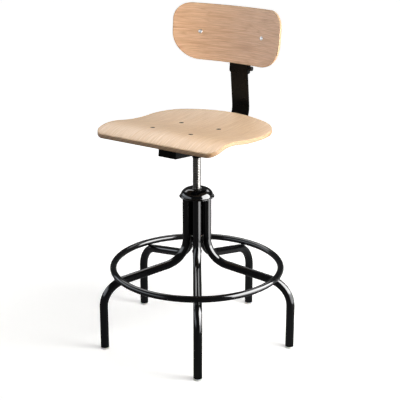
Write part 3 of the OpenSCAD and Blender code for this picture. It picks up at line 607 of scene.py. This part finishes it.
# %% A geometry tree for a screw thread
thread, source = start_tree("threaded_rod", [
    ("Radius", "Float"), ("Depth", "Float"), ("Pitch", "Float"), ("Length", "Float"),
    ("Sides", "Int"), ("Rows", "Int"), ("Finish", "Material")])
sheet = add(thread, "GeometryNodeMeshGrid", {
    "Size X": 1.0, "Size Y": 1.0, "Vertices X": source["Sides"], "Vertices Y": source["Rows"]})
spot = add(thread, "GeometryNodeInputPosition")
axes = add(thread, "ShaderNodeSeparateXYZ", {0: spot}).outputs
round_share = add(thread, "ShaderNodeMath", {0: axes[0], 1: 0.5}, operation="ADD")
high_share = add(thread, "ShaderNodeMath", {0: axes[1], 1: 0.5}, operation="ADD")
height = add(thread, "ShaderNodeMath", {0: high_share, 1: source["Length"]}, operation="MULTIPLY")
pitches = add(thread, "ShaderNodeMath", {0: height, 1: source["Pitch"]}, operation="DIVIDE")
turns = add(thread, "ShaderNodeMath", {0: pitches, 1: round_share}, operation="SUBTRACT")
wave = add(thread, "ShaderNodeMath", {0: turns, 1: 0.5}, operation="PINGPONG")
flank = add(thread, "ShaderNodeMapRange", {"Value": wave, "From Min": 0.16, "From Max": 0.46})
cut = add(thread, "ShaderNodeMath", {0: flank, 1: source["Depth"]}, operation="MULTIPLY")
cut_r = add(thread, "ShaderNodeMath", {0: source["Radius"], 1: cut}, operation="SUBTRACT")
not_end = add(thread, "ShaderNodeMath", {0: high_share, 1: 0.5, 2: 0.49999}, operation="COMPARE")
radius = add(thread, "ShaderNodeMath", {0: cut_r, 1: not_end}, operation="MULTIPLY")
angle = add(thread, "ShaderNodeMath", {0: round_share, 1: 2 * math.pi}, operation="MULTIPLY")
reach = []
for operation in ("COSINE", "SINE"):
    share = add(thread, "ShaderNodeMath", {0: angle}, operation=operation)
    reach.append(add(thread, "ShaderNodeMath", {0: share, 1: radius}, operation="MULTIPLY"))
rolled = add(thread, "ShaderNodeCombineXYZ", {0: reach[0], 1: reach[1], 2: height})
rod = add(thread, "GeometryNodeSetPosition", {"Geometry": sheet, "Position": rolled})
joined = add(thread, "GeometryNodeMergeByDistance", {"Geometry": rod, "Distance": 0.000002})
end_tree(thread, joined, source["Finish"])

ROWS_PER_TURN = 8
for name, (radius, depth, pitch, length, sides), place, finish, body, replaced in [
        ("spindle_screw", (SPINDLE_R, 0.5, THREAD_PITCH, SPINDLE_HIGH - SPINDLE_LOW, 40),
         move(0, 0, SPINDLE_LOW), turned_steel, "seat", "spindle"),
        ("clamp_rod", (5, 0.6, 1.5, 39.7, 24),
         AT_SEAT @ move(0, 105, -55), zinc_plate, "clamp_knob", "clamp_screw"),
        ("height_rod", (4, 0.5, 1.25, 37.6, 24),
         AT_UPRIGHT @ move(0, -8.3, 170) @ tilt(-90), zinc_plate, "height_knob", "height_screw")]:
    mesh = grow(thread, bpy.data.meshes.new("empty"), {
        "Radius": radius * mm, "Depth": depth * mm, "Pitch": pitch * mm, "Length": length * mm,
        "Sides": sides + 1, "Rows": int(ROWS_PER_TURN * length / pitch), "Finish": finish})
    mesh.transform(place)
    make_piece(name, mesh, [finish], body, [replaced], 50)
    print(name, "has", len(mesh.polygons), "faces")

# %% [markdown]
# Glides, bolt heads and screw heads repeat. A small tree puts one shape on every point of a
# mesh, turned as the point's own attribute says, and makes them all real.

# %% A geometry tree that repeats a part
repeat, source = start_tree("part_on_points", [("Part", "Object"), ("Finish", "Material")])
part = add(repeat, "GeometryNodeObjectInfo", {"Object": source["Part"]},
           transform_space="ORIGINAL")
turn_of = add(repeat, "GeometryNodeInputNamedAttribute", {"Name": "turn"},
              data_type="FLOAT_VECTOR")
spread = add(repeat, "GeometryNodeInstanceOnPoints", {
    "Points": source["Geometry"], "Instance": part.outputs["Geometry"],
    "Rotation": turn_of.outputs["Attribute"]})
end_tree(repeat, spread, source["Finish"])

def repeated(name, mesh, places, finish, body, replaced, sharp=40):
    mesh.shade_smooth()
    part = new_object("part", mesh)
    points = bpy.data.meshes.new("points")
    points.from_pydata([place.translation for place in places], [], [])
    turns = points.attributes.new("turn", "FLOAT_VECTOR", "POINT")
    for item, place in zip(turns.data, places):
        item.vector = place.to_euler()
    made = grow(repeat, points, {"Part": part, "Finish": finish})
    bpy.data.objects.remove(part)
    return make_piece(name, made, [finish], body, replaced, sharp)

glide = turned("glide", [(0, 0)] + arc(GLIDE_R - 2, 2, 2, 2, 270, 360, 8)
               + arc(GLIDE_R - 0.8, GLIDE_H - 0.8, 0.8, 0.8, 0, 90, 5) + [(0, GLIDE_H)], 56)
feet = [Matrix.Rotation(turn, 4, "Z") @ move(FOOT_CIRCLE_R, 0, 0) for turn in LEG_TURNS]
glides = repeated("foot_glides", glide, feet, white_nylon, "base",
                  [f"glide_{i}" for i in range(1, 6)])
print("the glides have", len(glides.data.polygons), "faces")

# %% [markdown]
# The seat bolts sit in counterbores and have a hexagon socket. The back screws have a low domed
# head with a cross recess. Both heads are first turned, then the recess is pressed in by pushing
# the points of a fine top down inside the recess's outline.

# %% Bolts and screws with their drives
HEX_HALF, CROSS_HALF_W, CROSS_REACH = 2.0, 0.75, 2.9

def in_hexagon(x, y):
    return all(abs(x * math.cos(math.radians(a)) + y * math.sin(math.radians(a))) < HEX_HALF
               for a in (0, 60, 120))

def in_cross(x, y):
    return min(abs(x), abs(y)) < CROSS_HALF_W and max(abs(x), abs(y)) < CROSS_REACH

def headed(name, head, in_recess, depth, shank, tail, grid=0.3, cap=0.6):
    edge, top = head[-1]
    flat = [(r, top) for r in np.arange(edge - grid, 0.2, -grid)]
    mesh = turned(name, [(0, -tail), (shank, -tail), (shank, head[0][1])] + head + flat
                  + [(0, top)], 72)
    for v in mesh.vertices:
        x, y, z = [c / mm for c in v.co]
        if z > top - cap and in_recess(x, y):
            v.co.z -= depth * mm
    return mesh

bolt = headed("bolt", [(3, 13.5), (6, 13.5)] + arc(5.2, 15.9, 0.8, 0.8, 0, 90, 5), in_hexagon,
              depth=2.0, shank=3, tail=13)
bolt_places = [AT_SEAT @ move(x, y, 0) for x in (-BOLT_X, BOLT_X) for y in BOLT_YS]
repeated("seat_bolt_set", bolt, bolt_places, satin_powder, "seat", ["seat_bolts"], 30)
screw = headed("screw", [(3, -0.1), (6, -0.1)] + arc(0, 0.2, 5.95, 2.0, 5, 70, 8), in_cross,
               depth=1.2, shank=3, tail=19)
angle = math.asin(BACK_SCREW_GAP / 2 / BACK_R)
screw_places = [AT_BACK @ move(0, -BACK_R, 0) @ Matrix.Rotation(-side * angle, 4, "Z")
                @ move(0, BACK_R, 0) @ tilt(90) for side in (-1, 1)]
repeated("back_screw_set", screw, screw_places, zinc_plate, "back", ["back_screws"], 30)
for node in ("seat_nuts", "back_nuts"):
    eased(node, 0.3, zinc_plate)
print("made the bolts, the screws and their nuts")

# %% [markdown]
# Both plywood panels are flat sheets bent in one direction only. So each is drawn flat, as an
# outline with its bores, and a rule bends every point into place. Strips of faces between rows of
# outlines make the rounded rim and the bores, mapped by their length and depth. The rim is the
# panel's second finish and a bore its third.

# %% Strips of faces between outlines
RIM_R, CELL, OUTLINE_STEP, BORE_SIDES = 1.7, 8, 7, 48
EDGE, BORE = 1, 2

def along(points, step):
    spaced = []
    for a, b in zip(points, points[1:] + points[:1]):
        if math.dist(a, b) < 0.01:
            continue
        count = max(1, round(math.dist(a, b) / step))
        spaced += [(a[0] + (b[0] - a[0]) * k / count, a[1] + (b[1] - a[1]) * k / count)
                   for k in range(count)]
    return spaced

def moved_in(outline, inset):
    moved = []
    for i, p in enumerate(outline):
        a, b = outline[i - 1], outline[(i + 1) % len(outline)]
        out = Vector((b[1] - a[1], a[0] - b[0])).normalized()
        moved.append((p[0] - out[0] * inset, p[1] - out[1] * inset))
    return moved

def bore_ring(bore, wider=0.5):
    x, y, r = bore[:3]
    step = 360 / BORE_SIDES
    return arc(x, y, r + wider, r + wider, 0, 360 - step, BORE_SIDES - 1)

def strip(shape, bend, loops, depths, lengths, finish):
    veneer = shape.loops.layers.uv["veneer"]
    rings = [[shape.verts.new(bend(x, y, d)) for x, y in loop] for loop, d in zip(loops, depths)]
    count = len(loops[0])
    for j in range(len(rings) - 1):
        for i in range(count):
            n = (i + 1) % count
            face = shape.faces.new((rings[j][i], rings[j][n], rings[j + 1][n], rings[j + 1][i]))
            face.material_index = finish
            for loop, (p, q) in zip(face.loops, ((i, j), (i + 1, j), (i + 1, j + 1), (i, j + 1))):
                loop[veneer].uv = (lengths[p] * mm, depths[q] * mm)
    return rings

# %% [markdown]
# The face between the rims is filled with even triangles. Rows of points are set out inside the
# outline, clear of the rim and of the bores, and joined into a Delaunay mesh.

# %% A face filled with even triangles
def points_inside(edge, fixed, bores):
    a, b = np.array(edge), np.roll(edge, -1, 0)
    low, high = fixed.min(0), fixed.max(0)
    found = []
    for row, y in enumerate(np.arange(low[1] + CELL / 2, high[1], CELL)):
        spans = (a[:, 1] > y) != (b[:, 1] > y)
        share = (y - a[spans, 1]) / (b[spans, 1] - a[spans, 1])
        crossings = a[spans, 0] + share * (b[spans, 0] - a[spans, 0])
        for x in np.arange(low[0] + CELL / 2 + (row % 2) * CELL / 2, high[0], CELL):
            clear = (np.min(np.hypot(*(fixed - (x, y)).T)) >= 0.7 * CELL
                     and all(math.dist((x, y), bore[:2]) >= bore[2] for bore in bores))
            if clear and np.sum(crossings > x) % 2:
                found.append(Vector((x, y)))
    return found

def fill(shape, bend, sheet, edge, bores, depth):
    veneer = shape.loops.layers.uv["veneer"]
    flat, borders = [], []
    for loop in [edge] + [bore_ring(bore) for bore in bores]:
        first, count = len(flat), len(loop)
        flat += [Vector(p) for p in loop]
        borders += [(first + i, first + (i + 1) % count) for i in range(count)]
    flat += points_inside(edge, np.array([[p.x, p.y] for p in flat]), bores)
    spots, _, faces, *_ = delaunay_2d_cdt(flat, borders, [], 4, 1e-6)
    made = [shape.verts.new(bend(p.x, p.y, depth)) for p in spots]
    for corners in faces:
        middle = sum((spots[i] for i in corners), Vector((0, 0))) / 3
        if any(math.dist(middle, bore[:2]) < bore[2] + 0.5 for bore in bores):
            continue
        face = shape.faces.new([made[i] for i in corners])
        for loop, i in zip(face.loops, corners):
            loop[veneer].uv = Vector(sheet(spots[i].x, spots[i].y)) * mm

# %% [markdown]
# A panel is then a rim, its bores and two filled faces. A bore has a small chamfer, a wall and a
# flat floor. The rim's rows go a quarter round at each side of the sheet.

# %% A bent panel with a rounded rim
def panel(name, outline, bores, bend, sheet, thick, finishes):
    shape = bmesh.new()
    shape.loops.layers.uv.new("veneer")
    corners = zip(outline, outline[1:] + outline[:1])
    around = np.cumsum([0] + [math.dist(a, b) for a, b in corners])
    quarter = [(RIM_R * (1 - math.sin(a)), RIM_R * (1 - math.cos(a)))
               for a in np.linspace(0, math.pi / 2, 6)]
    rows = quarter + [(inset, thick - depth) for inset, depth in reversed(quarter)]
    loops = [moved_in(outline, inset) for inset, depth in rows]
    strip(shape, bend, loops, [depth for inset, depth in rows], around, EDGE)
    for bore in bores:
        x, y, r, deep = bore
        wall = bore_ring(bore, 0)
        rings = strip(shape, bend, [bore_ring(bore), wall, wall], [0, 0.5, deep],
                      np.arange(BORE_SIDES + 1) * r * 0.13, BORE)
        centre = shape.verts.new(bend(x, y, deep))
        for a, b in zip(rings[-1], rings[-1][1:] + rings[-1][:1]):
            shape.faces.new((a, b, centre)).material_index = BORE
    fill(shape, bend, sheet, loops[0], bores, 0)
    fill(shape, bend, sheet, loops[-1], [], thick)
    bmesh.ops.remove_doubles(shape, verts=shape.verts, dist=1e-6)
    bmesh.ops.recalc_face_normals(shape, faces=shape.faces)
    mesh = bpy.data.meshes.new(name)
    shape.to_mesh(mesh)
    open_edges = sum(not e.is_manifold for e in shape.edges)
    shape.free()
    make_piece(name + "_shell", mesh, finishes, name, [name + "_panel"])
    print(name, "has", len(mesh.polygons), "faces and", open_edges, "open edges")

# %% [markdown]
# From front to rear the seat is a chain of four arcs: the lip that falls away under the knees,
# the crest, the hollow and the rise to the rear, each with its radius and the degrees it turns.
# Its outline has small front corners, wide rear corners and a bowed rear edge. The last of the
# seat's numbers says which stretch of the veneer's pattern the seat shows.

# %% Seat panel
LIP_R, LIP_TURN = 150, 34
SEAT_BENDS = [(LIP_R, -LIP_TURN), (300, -11), (700, 11), (1100, 8)]
SEAT_VENEER_START = 1000

def seat_curve(steps=60):
    fall = math.radians(LIP_TURN)
    y, z = CREST_Y - LIP_R * math.sin(fall), CREST_Z - LIP_R * (1 - math.cos(fall))
    heading, length = LIP_TURN, 0.0
    rows = [(y, z, heading, length)]
    for radius, turn in SEAT_BENDS:
        for _ in range(steps):
            a, b = math.radians(heading), math.radians(heading + turn / steps)
            s = radius if turn > 0 else -radius
            y += s * (math.sin(b) - math.sin(a))
            z -= s * (math.cos(b) - math.cos(a))
            length += radius * abs(b - a)
            heading += turn / steps
            rows.append((y, z, heading, length))
    return np.array(rows).T

SEAT_Y, SEAT_Z, SEAT_HEADING, SEAT_LENGTH = seat_curve()

def bend_seat(x, y, depth):
    heading = math.radians(np.interp(y, SEAT_Y, SEAT_HEADING))
    return Vector((x, y, np.interp(y, SEAT_Y, SEAT_Z) - depth / math.cos(heading))) * mm

def seat_sheet(x, y):
    return float(np.interp(y, SEAT_Y, SEAT_LENGTH)), x + SEAT_VENEER_START

bow_y = SEAT_REAR - SEAT_BOW_R
corner_x = SEAT_HALF_W - SEAT_REAR_CORNER_R
corner_y = bow_y + math.sqrt((SEAT_BOW_R - SEAT_REAR_CORNER_R) ** 2 - corner_x ** 2)
meet = math.degrees(math.atan2(corner_y - bow_y, corner_x))
front_r, rear_r = SEAT_FRONT_CORNER_R, SEAT_REAR_CORNER_R
right = (arc(SEAT_HALF_W - front_r, front_r - SEAT_FRONT, front_r, front_r, -90, 0, 14)
         + arc(corner_x, corner_y, rear_r, rear_r, 0, meet, 26)
         + arc(0, bow_y, SEAT_BOW_R, SEAT_BOW_R, meet, 90, 14))
outline = along(right + [(-x, y) for x, y in reversed(right[:-1])], OUTLINE_STEP)
bolt_spots = [AT_SEAT @ (Vector((BOLT_X, y, BOLT_Z)) * mm) for y in BOLT_YS]
bores = [(side * BOLT_X, spot.y / mm, BORE_R, BORE_DEPTH)
         for side in (-1, 1) for spot in bolt_spots]
# The seat's third finish is painted shade for the inside of its counterbores.
panel("seat", outline, bores, bend_seat, seat_sheet, SEAT_T, [seat_veneer, seat_edge, painted_bore_shade])

# %% [markdown]
# The back is part of a cylinder, hollow to the front. Its outline is cut straight through, with
# wider corners below than above.

# %% Back panel
BACK_VENEER_START = 1300

def bend_back(x, z, depth):
    return AT_BACK @ (Vector((x, math.sqrt((BACK_R + depth) ** 2 - x * x) - BACK_R, z)) * mm)

def back_sheet(x, z):
    return BACK_R * math.asin(x / BACK_R), z + BACK_VENEER_START

half_w, half_h, top_r, low_r = BACK_W / 2, BACK_H / 2, BACK_TOP_CORNER_R, BACK_LOW_CORNER_R
right = (arc(half_w - low_r, low_r - half_h, low_r, low_r, -90, 0, 26)
         + arc(half_w - top_r, half_h - top_r, top_r, top_r, 0, 90, 20))
outline = along(right + [(-x, y) for x, y in reversed(right)], OUTLINE_STEP)
panel("back", outline, [], bend_back, back_sheet, BACK_T, [back_veneer, back_edge])

# %% [markdown]
# The studio is a white floor. The camera sees it lit, and paler all round far from the chair,
# where it runs into the white background. Every other ray, such as one mirrored in a tube, sees a
# plain glow instead: behind the chair it makes thin light lines on the tubes, and on the camera's
# side it is dark, like the room there.

# %% Floor
HALF_FLOOR = 30
floor_mesh = bpy.data.meshes.new("floor")
floor_mesh.from_pydata([(x * HALF_FLOOR, y * HALF_FLOOR, 0)
                        for x, y in ((-1, -1), (1, -1), (1, 1), (-1, 1))], [], [(0, 1, 2, 3)])
floor = new_object("floor", floor_mesh)
pale_floor, tree, shader = start_finish("pale_studio_floor")
place = add(tree, "ShaderNodeTexCoord").outputs["Object"]
shader.inputs["Base Color"].default_value = tone("#f6f5f3")
shader.inputs["Roughness"].default_value = 0.9
shader.inputs["Specular IOR Level"].default_value = 0.2
shader.inputs["Emission Color"].default_value = (1, 1, 1, 1)

def reach_along(direction, near, far, low, high):
    reach = add(tree, "ShaderNodeVectorMath", {0: place, 1: direction}, operation="DOT_PRODUCT")
    return add(tree, "ShaderNodeMapRange", {
        "Value": reach.outputs["Value"], "From Min": near, "From Max": far,
        "To Min": low, "To Max": high})

away = add(tree, "ShaderNodeVectorMath", {0: place}, operation="LENGTH")
rim = add(tree, "ShaderNodeMapRange", {
    "Value": away.outputs["Value"], "From Min": 0.75, "From Max": 1.25, "To Max": 0.7})
paler = add(tree, "ShaderNodeMath", {
    0: reach_along((-0.562, 0.827, 0), -0.2, 1.6, 0.245, 0.66), 1: rim}, operation="MAXIMUM")
tree.links.new(paler.outputs[0], shader.inputs["Emission Strength"])
mirrored = add(tree, "ShaderNodeEmission", {
    "Strength": reach_along((0.325, 0.946, 0), -0.3, 1.1, 0.12, 0.4)})
ray = add(tree, "ShaderNodeLightPath")
surface = add(tree, "ShaderNodeMixShader", {
    0: ray.outputs["Is Camera Ray"], 1: mirrored, 2: shader})
tree.links.new(surface.outputs[0], tree.nodes["Material Output"].inputs[0])
floor_mesh.materials.append(pale_floor)
print("the floor is", pale_floor.name)

# %% [markdown]
# Each lamp makes only highlights or only even light. For the highlights, three low boxes on the
# right serve the feet, the legs and the spindle, and a large bright box above them makes the
# streaks on the tubes and the patch on the dome, with a weaker one in its place for the wood. Two
# gleams from behind give the seat its sheen, and one at the front left lights the screws. Even
# light comes from the right, from above, low along the wood's rims, and from the left, with a wide
# weak sun over all.

# %% Studio light
def soft_light(name, place, target, width, height, radiance, seen_as):
    light = bpy.data.lights.new(name, "AREA")
    light.shape = "RECTANGLE"
    light.size, light.size_y = width, height
    light.energy = math.pi * width * height * radiance
    lamp = new_object(name, light)
    face_to(lamp, place, target)
    lamp.visible_camera = False
    lamp.visible_glossy = seen_as == "gloss"
    lamp.visible_diffuse = seen_as == "even"
    return lamp

foot = soft_light("right_foot", (0.824, 0.205, 0.1), (0, 0, 0.1), 1.0, 0.2, 6, "gloss")
middle = soft_light("right_middle", (0.824, 0.205, 0.25), (0, 0, 0.25), 1.0, 0.1, 6.5, "gloss")
rod = soft_light("rod_light", (0.84, 0.21, 0.4), (0, 0, 0.4), 1.0, 0.4, 6.0, "gloss")
box = soft_light("right_box", (0.824, 0.205, 0.8), (0, 0, 0.8), 1.0, 1.0, 20, "gloss")
wood_box = soft_light("wood_box", (0.83, 0.206, 0.8), (0, 0, 0.8), 1.0, 1.0, 5.5, "gloss")
soft_light("seat_gleam", (-1.15, 0.8, 2.3), (0, 0, 0.6), 1.8, 1.8, 3.9, "gloss")
soft_light("rear_gleam", (0.0, 0.85, 1.05), (0.18, 0.06, 0.66), 0.35, 0.3, 4.0, "gloss")
front = soft_light("left_gleam", (-1.53, -1.29, 0.9), (0, 0, 0.9), 3.8, 0.9, 3.0, "gloss")
front.data.color = (0.88, 0.94, 1.0)
soft_light("right_key", (1.27, 0.27, 1.12), (0, 0, 1.12), 0.7, 2.2, 6.7, "even")
soft_light("right_top", (0.75, -0.25, 1.35), (0, 0, 0.7), 0.6, 0.6, 5.3, "even")
rim_key = soft_light("rim_key", (1.2, 0.1, 0.57), (0, 0, 0.66), 0.9, 0.25, 12, "even")
soft_light("left_fill", (-1.8, -0.3, 0.8), (0, 0, 0.8), 1.3, 0.8, 3.6, "even")
sun = new_object("wide_top", bpy.data.lights.new("wide_top", "SUN"))
sun.data.energy, sun.data.angle = 0.2, math.radians(45)
face_to(sun, (0, 0, 0), (-0.6, 0.3, -0.75))
sun.visible_glossy = False

# %% [markdown]
# A lamp can be kept off the pieces of a finish, or shine on them alone. The boxes for the tubes
# stay off the satin parts. The large box and the left gleam also miss the spindle and the knobs,
# and the large one the wood; spindle and wood have boxes of their own. The background is white
# for the camera and almost dark in reflections.

# %% Which lamp shines on which finish
def aim_at(lamps, state, finishes):
    chosen = bpy.data.collections.new("chosen")
    for piece in list(bpy.context.scene.objects):
        if piece.type == "MESH" and piece.data.materials:
            if piece.data.materials[0] in finishes:
                chosen.objects.link(piece)
    for link in chosen.collection_objects:
        link.light_linking.link_state = state
    for lamp in lamps:
        lamp.light_linking.receiver_collection = chosen

wood = [seat_veneer, back_veneer]
dark_side = [satin_powder, turned_steel, knob_plastic]
aim_at([foot, middle], "EXCLUDE", [satin_powder])
aim_at([front], "EXCLUDE", dark_side)
aim_at([box], "EXCLUDE", dark_side + wood)
aim_at([wood_box, rim_key], "INCLUDE", wood)
aim_at([rod], "INCLUDE", [turned_steel])

sky = bpy.data.worlds.new("studio")
bpy.context.scene.world = sky
sky.use_nodes = True
tree = sky.node_tree
tree.nodes.clear()
ray = add(tree, "ShaderNodeLightPath")
seen, even, gleam = [
    add(tree, "ShaderNodeBackground", {"Color": (1, 1, 1, 1), "Strength": strength})
    for strength in (1.05, 0.3, 0.07)]
lit = add(tree, "ShaderNodeMixShader", {0: ray.outputs["Is Diffuse Ray"], 1: gleam, 2: even})
both = add(tree, "ShaderNodeMixShader", {0: ray.outputs["Is Camera Ray"], 1: lit, 2: seen})
add(tree, "ShaderNodeOutputWorld", {0: both})
bpy.context.scene.view_settings.view_transform = "Standard"
print("the studio is lit")
